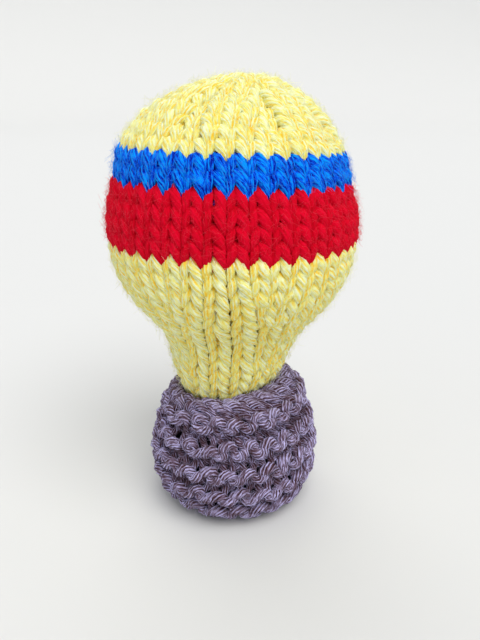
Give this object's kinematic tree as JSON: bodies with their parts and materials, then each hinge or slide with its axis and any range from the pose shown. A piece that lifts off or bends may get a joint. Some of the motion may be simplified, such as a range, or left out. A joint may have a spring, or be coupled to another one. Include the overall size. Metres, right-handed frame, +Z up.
{
  "type": "knitted toy hot air balloon",
  "caption": "Small stuffed toy hot air balloon knitted in yellow with a blue and a red stripe, narrowing to a neck that is set in a round garter-stitch basket.",
  "frame": {"origin": "centre of the basket's base, on the surface that the toy stands on", "axes": "+Z up through the basket and the balloon, -Y towards the side that the picture shows, +X to its right"},
  "size_m": [0.0596, 0.0596, 0.1076],
  "materials": {
    "yellow_yarn": "matte knitted yarn",
    "blue_yarn": "matte knitted yarn",
    "red_yarn": "matte knitted yarn",
    "brown_yarn": "matte knitted yarn"
  },
  "bodies": {
    "root": {"crown": "yellow_yarn", "crown_gather": "yellow_yarn", "blue_stripe": "blue_yarn", "red_stripe": "red_yarn", "lower_balloon": "yellow_yarn", "neck": "yellow_yarn", "basket_wall": "brown_yarn", "basket_rim": "brown_yarn", "basket_base": "brown_yarn"}
  },
  "joints": []
}
